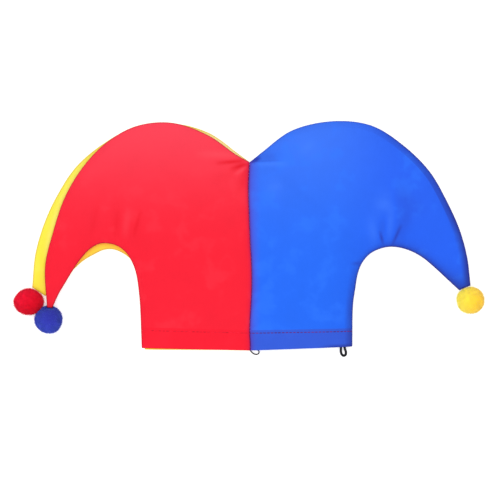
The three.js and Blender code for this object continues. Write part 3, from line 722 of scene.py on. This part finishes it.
# Painted shade towards the seams: an exponential rim at every sealed edge, a straight ramp along the side seam
# and the horn's far edge, a flat band over the seam allowance at the ridge, and a patch at the tip and at the
# hem's corner. On the yellow leaf it paints pale light beside the ridge near the crown instead. Each is left
# where the others leave it, so what they let through is multiplied.
shadeLook = {
    "rimReach": 1.9, "tipReach": 20, "ridgeLeast": 0.25, "ridgeFrom": (110, 150), "sideWider": 0.6,
    "sideFrom": (115, 150), "crownTo": (25, 60), "crownFade": (1.5, 5), "farWidth": 8.2, "farFrom": (180, 194),
    "sideWidth": 8.0, "sideTo": (90, 104), "bandFade": (6.0, 6.8), "bandLeast": 0.2, "bandFrom": (20, 60),
    "bandRise": (100, 145), "extraFrom": (140, 175), "bandTo": (184, 196), "tipHaze": 0.5, "tipHazeReach": 8,
    "tipFade": (1.0, 2.8), "cornerFrom": (62, 84), "cornerFade": (0.5, 4), "darkest": 0.95,
}


def edgeShade(leaf, x, edge):
    look = shadeLook

    def past(key):
        return smoothStep(*look[key], x)

    def beside(name, key):
        return 1 - smoothStep(*look[key], edge[name])

    def ramp(name, key):
        return np.maximum(0, 1 - edge[name] / look[key])

    reach = look["rimReach"] * (1 + leaf["tipShade"] * np.exp(-((edge["tip"] / look["tipReach"]) ** 2)))
    ridgeShare = look["ridgeLeast"] + (1 - look["ridgeLeast"]) * past("ridgeFrom")
    sideReach = reach * (1 + look["sideWider"] * past("sideFrom"))
    rim = leaf["rimShade"] * np.maximum(
        np.exp(-edge["ridge"] / reach) * ridgeShare, np.exp(-edge["side"] / sideReach))
    # Painted pale light beside the ridge near the crown, on the yellow leaf, through the same mask as the shade
    rim = np.maximum(rim, leaf["crownPaleLight"] * (1 - past("crownTo")) * beside("ridge", "crownFade"))
    far = leaf["farShade"] * ramp("ridge", "farWidth") * past("farFrom")
    side = leaf["sideShade"] * ramp("side", "sideWidth") * (1 - past("sideTo"))
    bandRise = look["bandLeast"] + (1 - look["bandLeast"]) * past("bandRise")
    band = leaf["bandShade"] * bandRise * past("bandFrom") + leaf["bandExtra"] * past("extraFrom")
    band = band * beside("ridge", "bandFade") * (1 - past("bandTo") * min(1, leaf["farShade"]))
    haze = look["tipHaze"] * np.exp(-edge["tip"] / look["tipHazeReach"])
    tip = leaf["tipShade"] * np.maximum(haze, beside("tip", "tipFade"))
    corner = leaf["cornerShade"] * past("cornerFrom") * beside("hem", "cornerFade")
    through = (1 - rim) * (1 - far) * (1 - side) * (1 - band) * (1 - tip) * (1 - corner)
    return np.clip(1 - through, 0, look["darkest"])


# One panel over a grid of section positions and shares across, v from the outer edge to the inner
# one. Its inner face stands off the seams by the opening, the root of 1 - v cubed, and by a bulge with
# a flat top, and the outer face stands off that by the cloth's wall. Past the crown the opening closes
# beside the ridge by a bell curve of v.
def panelFaces(leaf, isFront, at, across):
    line = leafLines(leaf, at)
    v = across[None, :]
    x = line["out"][:, :1] * (1 - v) + line["inn"][:, :1] * v
    y = line["out"][:, 1:] * (1 - v) + line["inn"][:, 1:] * v
    column = {key: line[key][:, None] for key in ("outSeam", "inSeam", "join", "mouth", "puff")}
    hemLine = leafLines(leaf, np.zeros(1))
    trueHem = y - hemLine["out"][:, 1:] * (1 - v) - hemLine["inn"][:, 1:] * v
    slantNear, slantFar = leaf["hemSlant"]
    hemDistance = trueHem - slantNear - (slantFar - slantNear) * x / hat["hemWidth"]
    doubled = 1 - smoothStep(hat["hemFold"], hat["hemFold"] + hat["hemStep"], hemDistance)
    thick = hat["clothWall"] * (1 + doubled)
    seam = column["outSeam"] * (1 - v) + column["inSeam"] * v
    bulge = np.maximum(0, 1 - np.abs(2 * v - 1) ** hat["bulgeFlat"]) ** hat["bulgeRound"]
    opening = np.sqrt(np.maximum(0, 1 - v**3))
    crown = hat["crownRow"]
    edge = {
        "centre": distanceTo(x, y, line["out"][at <= crown]),
        "ridge": distanceTo(x, y, line["out"][at >= crown]),
        "side": distanceTo(x, y, line["inn"]),
        "tip": distanceTo(x, y, np.stack([line["out"][-1], line["inn"][-1]])),
        "hem": trueHem,
    }
    sealed = np.minimum(edge["ridge"], edge["side"])
    outLength, innLength = lengthAlong(line["out"])[:, None], lengthAlong(line["inn"])[:, None]
    clear = smoothStep(*panelLook["clear"], edge["centre"])
    foldDeep, foldShade = pressedFolds(leaf, x, y)
    reach, waves = panelLook["puckerReach"], panelLook["puckerWaves"]
    sway = panelLook["pucker"] * clear * (
        ripple(outLength, *waves, leaf["seed"]) * np.exp(-edge["ridge"] / reach)
        + ripple(innLength, *waves, leaf["seed"] + 1) * np.exp(-edge["side"] / reach))
    hemSway = ripple(x, *panelLook["hemWaves"], leaf["seed"] + 2) * np.exp(-trueHem / panelLook["hemReach"])
    sway = sway + panelLook["hemWave"] * clear * hemSway
    past = np.maximum(0, outLength - np.interp(crown, at, outLength[:, 0]))
    closing = (1 - np.exp(-((past / panelLook["crownReach"]) ** 2))) * np.exp(
        -((v / panelLook["crownAcross"]) ** 2))
    crownOpen = leaf["crownOpen"] * column["join"] ** 2 * (1 - closing)
    if isFront:
        wide = leaf["frontAtCentre"] - leaf["crownSeam"] - hat["sewnGap"] / 2 - leaf["crownOpen"]
        puff = leaf["frontPuff"] * column["puff"] - foldDeep + panelLook["swell"] * leaf["swell"] * swell(
            x, y, *panelLook["swellWaves"], leaf["seed"] + 3)
        rise = (crownOpen + column["mouth"] * wide) * opening + puff * bulge - (thick - hat["clothWall"])
        inner = np.minimum(seam + hat["shownGap"] / 2 + np.maximum(0, rise) + sway, leaf["press"] - thick)
    else:
        wide = leaf["crownSeam"] - hat["sewnGap"] / 2 - leaf["crownOpen"] - leaf["rest"] - hat["clothWall"]
        drop = ((crownOpen + column["mouth"] * wide) * opening
                + hat["backPuff"] * column["puff"] * bulge - (thick - hat["clothWall"]))
        inner = np.maximum(seam - hat["shownGap"] / 2 - np.maximum(0, drop) + sway, leaf["rest"] + thick)
    surface = np.stack([x, y, inner], -1)
    normal = np.cross(np.gradient(surface, axis=0), np.gradient(surface, axis=1))
    steepness = np.linalg.norm(normal, axis=-1) / np.maximum(np.abs(normal[..., 2]), 1e-9)
    slope = np.minimum(hat["steepest"], steepness)
    allowance = panelLook["allowanceRise"] * (1 - smoothStep(*panelLook["allowanceEnd"], sealed))
    pull = hat["stitchPull"] * np.exp(-(((hemDistance - hat["stitchDepth"]) / panelLook["stitchReach"]) ** 2))
    wall = thick * slope + allowance - pull
    outer = np.minimum(inner + wall, leaf["press"]) if isFront else np.maximum(inner - wall, leaf["rest"])
    seal = np.minimum(rounded(np.minimum(sealed, edge["tip"]), panelLook["sealRound"]),
                      rounded(edge["centre"], panelLook["centreRound"]))
    outer = inner + (outer - inner) * seal
    middle = (outer + inner) / 2
    hemRound = rounded(trueHem, panelLook["hemRound"])
    outer = middle + (outer - middle) * hemRound
    inner = middle + (inner - middle) * hemRound
    shade = edgeShade(leaf, x, edge)
    # Painted bounce light: the yellow leaf is tinted orange within reach of the red leaf's inner edge, as if lit
    # by the red cloth
    paintedBounce = np.zeros_like(x)
    if leaf["bounceFromLeaf"]:
        beside = leafLines(leaves[leaf["bounceFromLeaf"]], at)["inn"]
        paintedBounce = np.exp(-distanceTo(x, y, beside) / panelLook["bounceReach"])
        paintedBounce = paintedBounce * smoothStep(*panelLook["bounceFrom"], x)
    x, y, outer, inner = (eased(values, at, v) for values in (x, y, outer, inner))
    seamShade = np.minimum(
        panelLook["darkest"], panelLook["seamDark"] * np.exp(-edge["centre"] / leaf["seamReach"]))
    bow = np.interp(y, *smoothLine(seamBow, np.linspace(0, len(seamBow) - 1, panelLook["bowSteps"])).T)
    x = (leaf["side"] * np.maximum(x, hat["shownGap"] / 2)
         + bow * np.exp(-((x / hat["bowReach"]) ** 2)) * (1 - smoothStep(*panelLook["bowEnd"], y)))
    return {
        "outer": np.stack([x, y, outer], -1), "inner": np.stack([x, y, inner], -1),
        "edgeDistance": sealed, "hemDistance": hemDistance, "seamShade": seamShade,
        "edgeShade": shade, "foldShade": foldShade if isFront else 0 * x, "paintedBounce": paintedBounce,
    }


# Section positions: close together at the hem's edge and at the tip, where the wall is rounded off
def panelRows(leaf, isFine):
    last = len(leaf["rows"]) - 1
    ease = 1 - np.cos(np.linspace(0, math.pi / 2, panelLook["roundRows"], endpoint=False))
    hemEnd, tipEnd = panelLook["hemEnd"], panelLook["tipEnd"]
    low = np.linspace(hemEnd, 1, panelLook["hemRows"], endpoint=False)
    fineFrom, fineTo = panelLook["foldRows"]
    fineStep = panelLook["foldStep" if isFine else "upperStep"]
    middle = np.concatenate([
        np.arange(1, fineFrom, panelLook["upperStep"]), np.arange(fineFrom, fineTo, fineStep),
        np.arange(fineTo, last - tipEnd - panelLook["upperStep"] / 2, panelLook["upperStep"])])
    return np.concatenate([hemEnd * ease, low, middle, last - tipEnd * ease[::-1]])


# A panel is a closed shell: its two faces share the points round their edge
def makePanel(colour, isFront):
    leaf = leaves[colour]
    node = f"{colour}_{'front' if isFront else 'back'}_panel"
    isFine = isFront and colour != "yellow"
    columns = panelLook["foldColumns" if isFine else "columns"]
    across = 0.5 - 0.5 * np.cos(np.linspace(0, math.pi, columns + 1))
    faces = panelFaces(leaf, isFront, panelRows(leaf, isFine), across)
    rows, columns = faces["outer"].shape[:2]
    inside = (rows - 2, columns - 2)
    outerIds = np.arange(rows * columns).reshape(rows, columns)
    innerIds = outerIds.copy()
    innerIds[1:-1, 1:-1] = rows * columns + np.arange(inside[0] * inside[1]).reshape(inside)

    def quads(ids):
        return np.stack([ids[:-1, :-1], ids[:-1, 1:], ids[1:, 1:], ids[1:, :-1]], -1).reshape(-1, 4)

    def both(values):
        return np.concatenate([values.ravel(), values[1:-1, 1:-1].ravel()])

    turned = (leaf["side"] < 0) != (not isFront)
    outerQuads, innerQuads = quads(outerIds), quads(innerIds)[:, ::-1]
    blocks = [outerQuads[:, ::-1], innerQuads[:, ::-1]] if turned else [outerQuads, innerQuads]
    points = np.concatenate([faces["outer"].reshape(-1, 3), faces["inner"][1:-1, 1:-1].reshape(-1, 3)])
    attributes = {key: both(faces[key]) * metre for key in ("edgeDistance", "hemDistance")}
    attributes.update({key: both(faces[key]) for key in ("edgeShade", "seamShade", "foldShade", "paintedBounce")})
    panel = makePiece(node.replace("panel", "cloth"), inFrame(points), blocks, leaf["cloth"],
                      attributes, points[:, :2] * metre)
    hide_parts(node)


for colourName in leaves:
    makePanel(colourName, True)
    makePanel(colourName, False)
    print(colourName, "leaf made")

# A seam of thread along the hem, one row of stitches outside and one inside
hemStitch = {
    "length": 3.25, "spacing": 3.5, "width": 0.72, "height": 0.24, "sink": 0.08, "lowest": 0.02,
    "steps": 9, "around": 8, "margin": 2.2, "rows": (0.2, 0.6, 321), "columns": 400, "seed": 50,
    "stray": 0.12, "thinnest": 0.02,
}


# Each stitch is a capsule that dives into the cloth at both ends: a tube along its length, whose
# section is an ellipse that shrinks with the fourth power of the share from the middle
def makeStitches(colour, isFront):
    leaf = leaves[colour]
    look = hemStitch
    name = f"{colour}_{'front' if isFront else 'back'}_stitches"
    across = np.linspace(0, 1, look["columns"])
    faces = panelFaces(leaf, isFront, np.linspace(*look["rows"]), across)
    row = np.argmin(np.abs(faces["hemDistance"] - hat["stitchDepth"]), axis=0)
    every = np.arange(len(across))
    upward = 1.0 if isFront else -1.0
    allPoints, allFaces, allTones = [], [], []
    for face, outward in (("outer", upward), ("inner", -upward)):
        line = faces[face][row, every]
        beside = faces[face][row + 1, every]
        travelled = lengthAlong(line)
        middles = np.arange(look["margin"], travelled[-1] - look["margin"], look["spacing"])
        random = np.random.default_rng(leaf["seed"] + look["seed"])
        middles = middles + random.uniform(-look["stray"], look["stray"], len(middles))
        share = np.linspace(-1, 1, look["steps"])
        angle = np.linspace(0, 2 * math.pi, look["around"], endpoint=False)
        where = middles[:, None] + share * look["length"] / 2
        centre = np.stack([np.interp(where, travelled, line[:, k]) for k in range(3)], -1)
        along = unit(np.gradient(line, travelled, axis=0))
        up = unit(np.cross(along, beside - line))
        up *= (np.sign(up[:, 2]) * outward)[:, None]
        flat = np.cross(up, along)
        up, flat = (np.stack([np.interp(where, travelled, d[:, k]) for k in range(3)], -1) for d in (up, flat))
        lift = look["height"] * (1 - share**2) - look["sink"]
        size = np.sqrt(np.maximum(1 - share**4, look["thinnest"]))
        section = (flat[:, :, None] * (np.cos(angle) * look["width"] / 2)[:, None]
                   + up[:, :, None] * (np.sin(angle) * look["height"])[:, None])
        tube = centre[:, :, None] + up[:, :, None] * lift[:, None, None] + section * size[:, None, None]
        count, ring = len(middles), look["around"]
        walls = ringFaces(look["steps"], ring)
        start = np.array([[0, k, k + 1] for k in range(1, ring - 1)])[:, ::-1]
        end = (look["steps"] - 1) * ring + start[:, ::-1]
        offset = (np.arange(count) * look["steps"] * ring)[:, None, None] + sum(len(p) for p in allPoints)
        allFaces.append([(walls[None] + offset).reshape(-1, 4),
                         (np.vstack([start, end])[None] + offset).reshape(-1, 3)])
        allPoints.append(tube.reshape(-1, 3))
        allTones.append(np.repeat(random.uniform(-0.5, 0.5, count), look["steps"] * ring))
    points = np.concatenate(allPoints)
    points[:, 2] = np.maximum(points[:, 2], look["lowest"])
    tones = np.concatenate(allTones)
    turnOutwards(makePiece(
        name, inFrame(points), [block for pair in allFaces for block in pair], leaf["thread"],
        {"tipShare": tones + 0.5, "strandTone": tones}))


# Recalculates the normals of a mesh of many small closed shapes so that they all point outwards
def turnOutwards(piece):
    work = bmesh.new()
    work.from_mesh(piece.data)
    bmesh.ops.recalc_face_normals(work, faces=work.faces)
    work.to_mesh(piece.data)
    work.free()


for colourName in leaves:
    makeStitches(colourName, True)
    makeStitches(colourName, False)
print("hem stitches made")

# The pompoms: a ruffled ball covered with short bent strands
yarnBall = {
    "wrap": 12, "lumps": 0.022, "lumpWaves": (9, 8, 13, 26), "lumpSeed": 20, "ruffle": 0.12,
    "ruffleWaves": (5, 7, 3, 8), "strands": 8600, "scatter": 0.03, "spread": 0.25, "bend": 1.0,
    "bendSpread": 0.5, "buried": 0.6, "levels": (0.0, 0.45, 0.8), "thick": 0.2, "taper": (1.0, 0.9, 0.6),
    "strayShare": 0.2, "strayPile": 0.9, "strayThick": 0.55, "around": 64, "rings": 33, "floor": 0.15,
    "skinTip": 0.1, "tips": (0.15, 0.6, 0.9, 1.0), "sideLightTo": 0.9,
}
roundBall = {"squeeze": (1, 1, 1), "shift": (0, 0, 0), "under": None, "pile": 0.55}
pompoms = {
    "yellow_pompom": {
        **roundBall, "material": yellowYarn, "slot": "yellow_yarn", "seed": 5, "squeeze": (0.99, 0.96, 1),
        "core": 12.75, "pile": 0.3, "paintedSideLight": (0.95, -0.2, 0)},
    "blue_pompom": {
        **roundBall, "material": blueYarn, "slot": "blue_yarn", "seed": 6, "squeeze": (1, 1.01, 1),
        "under": "red", "core": 12.4, "paintedSideLight": (-0.5, -0.85, 0)},
    "red_pompom": {
        **roundBall, "material": redYarn, "slot": "red_yarn", "seed": 7, "squeeze": (1.08, 0.95, 0.97),
        "shift": (-0.75, -0.5, 0), "core": 12.5, "paintedSideLight": (-0.7, 0.7, 0)},
}
tipPress = {"aside": (0.6, 2.6), "below": (0.4, 2.4), "gap": 0.3, "freed": 14}


# Presses a ball's strands down where a horn's tip lies on them: heights are held under the tip within
# half its width, and freed by a smooth step further out
def pressUnder(points, leaf):
    line = leafLines(leaf, np.array([len(leaf["rows"]) - 1.0]))
    ends = np.array([line["out"][0], line["inn"][0]]) * [leaf["side"], 1] + [seamX, hemY]
    middle, half = ends.mean(axis=0), abs(ends[0, 0] - ends[1, 0]) / 2
    aside = np.abs(points[:, 0] - middle[0]) - half
    below = middle[1] - points[:, 1]
    free = np.maximum(smoothStep(*tipPress["aside"], aside), smoothStep(*tipPress["below"], below))
    underside = line["inSeam"][0] - hat["clothWall"] - tipPress["gap"]
    pressed = points.copy()
    pressed[:, 2] = np.minimum(points[:, 2], underside + free * tipPress["freed"])
    return pressed


def direction(polar, turn):
    return np.stack([np.sin(polar) * np.cos(turn), np.sin(polar) * np.sin(turn), np.cos(polar) + 0 * turn], -1)


# A swell over a ball's directions: its plan, sheared by the height, is taken for the plane
def ballSwell(way, waves, seed):
    shearX, shearY, short, long = waves
    x = way[..., 0] * yarnBall["wrap"] + way[..., 2] * shearX
    y = way[..., 1] * yarnBall["wrap"] - way[..., 2] * shearY
    return swell(x, y, short, long, seed)


# How far from round a ball is: one plus a slow swell
def lumps(way, kind):
    return 1 + yarnBall["lumps"] * ballSwell(way, yarnBall["lumpWaves"], kind["seed"] + yarnBall["lumpSeed"])


# The ball under the strands, on a grid of angles, its radius ruffled by a swell
def ballSkin(kind):
    polar = np.linspace(0, math.pi, yarnBall["rings"])[1:-1, None]
    turn = np.linspace(0, 2 * math.pi, yarnBall["around"], endpoint=False)[None, :]
    way = direction(polar, turn)
    ruffle = yarnBall["ruffle"] * ballSwell(way, yarnBall["ruffleWaves"], kind["seed"])
    skin = way * (kind["core"] * lumps(way, kind) + ruffle)[..., None]
    return np.concatenate([skin.reshape(-1, 3), [[0, 0, kind["core"]], [0, 0, -kind["core"]]]])


# Strands that start under the skin: each a three-sided cone along the radius that bends sideways with
# the square of its length. Three rings of three corners and a tip for each.
def ballStrands(kind, random):
    look = yarnBall
    count = look["strands"]
    k = np.arange(count) + 0.5
    root = direction(np.arccos(1 - 2 * k / count), math.pi * (1 + math.sqrt(5)) * k)
    root = unit(root + random.normal(0, look["scatter"], root.shape))
    lean = random.normal(0, 1, root.shape)
    lean = unit(lean - root * np.sum(lean * root, axis=1)[:, None])
    side = np.cross(root, lean)
    isStray = random.uniform(0, 1, count) < look["strayShare"]
    tall = kind["core"] + kind["pile"] + random.normal(0, look["spread"], count) + isStray * look["strayPile"]
    bend = np.abs(random.normal(look["bend"], look["bendSpread"], count))
    share = np.array(look["levels"])
    start = kind["core"] - look["buried"]
    rise = start + share * (tall - start)[:, None]
    line = root[:, None] * rise[:, :, None] + lean[:, None] * (bend[:, None] * share**2)[:, :, None]
    angle = np.array([0, 2, 4]) * math.pi / 3
    radius = look["thick"] * np.array(look["taper"]) * np.where(isStray, look["strayThick"], 1.0)[:, None]
    ring = lean[:, None, None] * np.cos(angle)[:, None] + side[:, None, None] * np.sin(angle)[:, None]
    rings = line[:, :, None] + ring * radius[:, :, None, None]
    tip = root * tall[:, None] + lean * bend[:, None]
    strands = np.concatenate([rings.reshape(count, 9, 3), tip[:, None]], axis=1)
    return strands * lumps(root, kind)[:, None, None]


# Faces of the strands, whose ten points each follow the first ones
def strandFaces(first, count):
    one = [(6, 7, 9), (7, 8, 9), (8, 6, 9), (0, 2, 1)]
    for level in (0, 3):
        for corner in range(3):
            a, b = level + corner, level + (corner + 1) % 3
            one += [(a, b, b + 3), (a, b + 3, a + 3)]
    return (np.array(one) + first + (np.arange(count) * 10)[:, None, None]).reshape(-1, 3)


def makePompom(name, kind):
    look, count = yarnBall, yarnBall["strands"]
    random = np.random.default_rng(kind["seed"])
    low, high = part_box(name)
    centre = np.array([(a + b) / 2 for a, b in zip(low, high)]) / metre
    skin, strands = ballSkin(kind), ballStrands(kind, random)
    rings, around = look["rings"] - 2, look["around"]
    triangles = np.vstack([capFaces(rings, around), strandFaces(len(skin), count)])
    points = np.concatenate([skin, strands.reshape(-1, 3)]) * kind["squeeze"] + centre + kind["shift"]
    if kind["under"]:
        points = pressUnder(points, leaves[kind["under"]])
    points[:, 2] = np.maximum(points[:, 2], look["floor"])
    # Painted shade: the ball's skin under the strands takes nearly the root colour, and each strand darkens
    # towards its root
    tipShare = np.concatenate([np.full(len(skin), look["skinTip"]),
                               np.tile(np.repeat(look["tips"], (3, 3, 3, 1)), count)])
    tone = np.concatenate([np.zeros(len(skin)), np.repeat(random.uniform(-0.5, 0.5, count), 10)])
    # Painted light and shade: one side of the ball lighter and the other darker, along the direction given for
    # each ball
    along = (points - centre) @ np.array(kind["paintedSideLight"]) / kind["core"]
    piece = makePiece(
        name.replace("pompom", "yarn_ball"), points * metre, [ringFaces(rings, around)[:, ::-1], triangles],
        kind["material"],
        {"tipShare": tipShare, "strandTone": tone, "paintedSideLight": smoothStep(-look["sideLightTo"], look["sideLightTo"], along)})
    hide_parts(name)


for pompomName, kind in pompoms.items():
    makePompom(pompomName, kind)
print("pompoms made")

# Floor and light
studio = {
    "floorSize": 6.0, "floorColour": (0.88, 0.88, 0.88, 1), "floorGlow": 0.42, "sky": 0.53,
    "boxAt": (-0.25, 0.1, 2.4), "boxSize": 2.4, "boxPower": 52.5, "white": (1, 1, 1, 1), "roughness": 0.9,
}


def makeStudio(settings):
    half = settings["floorSize"] / 2
    mesh = bpy.data.meshes.new("studio_floor")
    mesh.from_pydata([(-half, -half, 0), (half, -half, 0), (half, half, 0), (-half, half, 0)], [], [(0, 1, 2, 3)])
    floor = bpy.data.objects.new("studio_floor", mesh)
    bpy.context.scene.collection.objects.link(floor)
    material, tree, surface = startMaterial("studio_floor", settings["roughness"], 0.0)
    surface.inputs["Base Color"].default_value = settings["floorColour"]
    surface.inputs["Emission Color"].default_value = settings["white"]
    surface.inputs["Emission Strength"].default_value = settings["floorGlow"]
    mesh.materials.append(material)
    world = bpy.data.worlds.new("studio_air")
    world.use_nodes = True
    background = world.node_tree.nodes["Background"]
    background.inputs["Color"].default_value = settings["white"]
    background.inputs["Strength"].default_value = settings["sky"]
    bpy.context.scene.world = world
    data = bpy.data.lights.new("soft_box", "AREA")
    data.shape = "SQUARE"
    data.size = settings["boxSize"]
    data.energy = settings["boxPower"]
    lamp = bpy.data.objects.new("soft_box", data)
    at = np.array(settings["boxAt"])
    lamp.location = at
    flat = math.hypot(at[0], at[1])
    lamp.rotation_euler = (math.atan2(flat, at[2]), 0, math.atan2(at[0], -at[1]) + math.pi)
    bpy.context.scene.collection.objects.link(lamp)


makeStudio(studio)
bpy.context.scene.view_settings.view_transform = "Standard"
print("studio made")
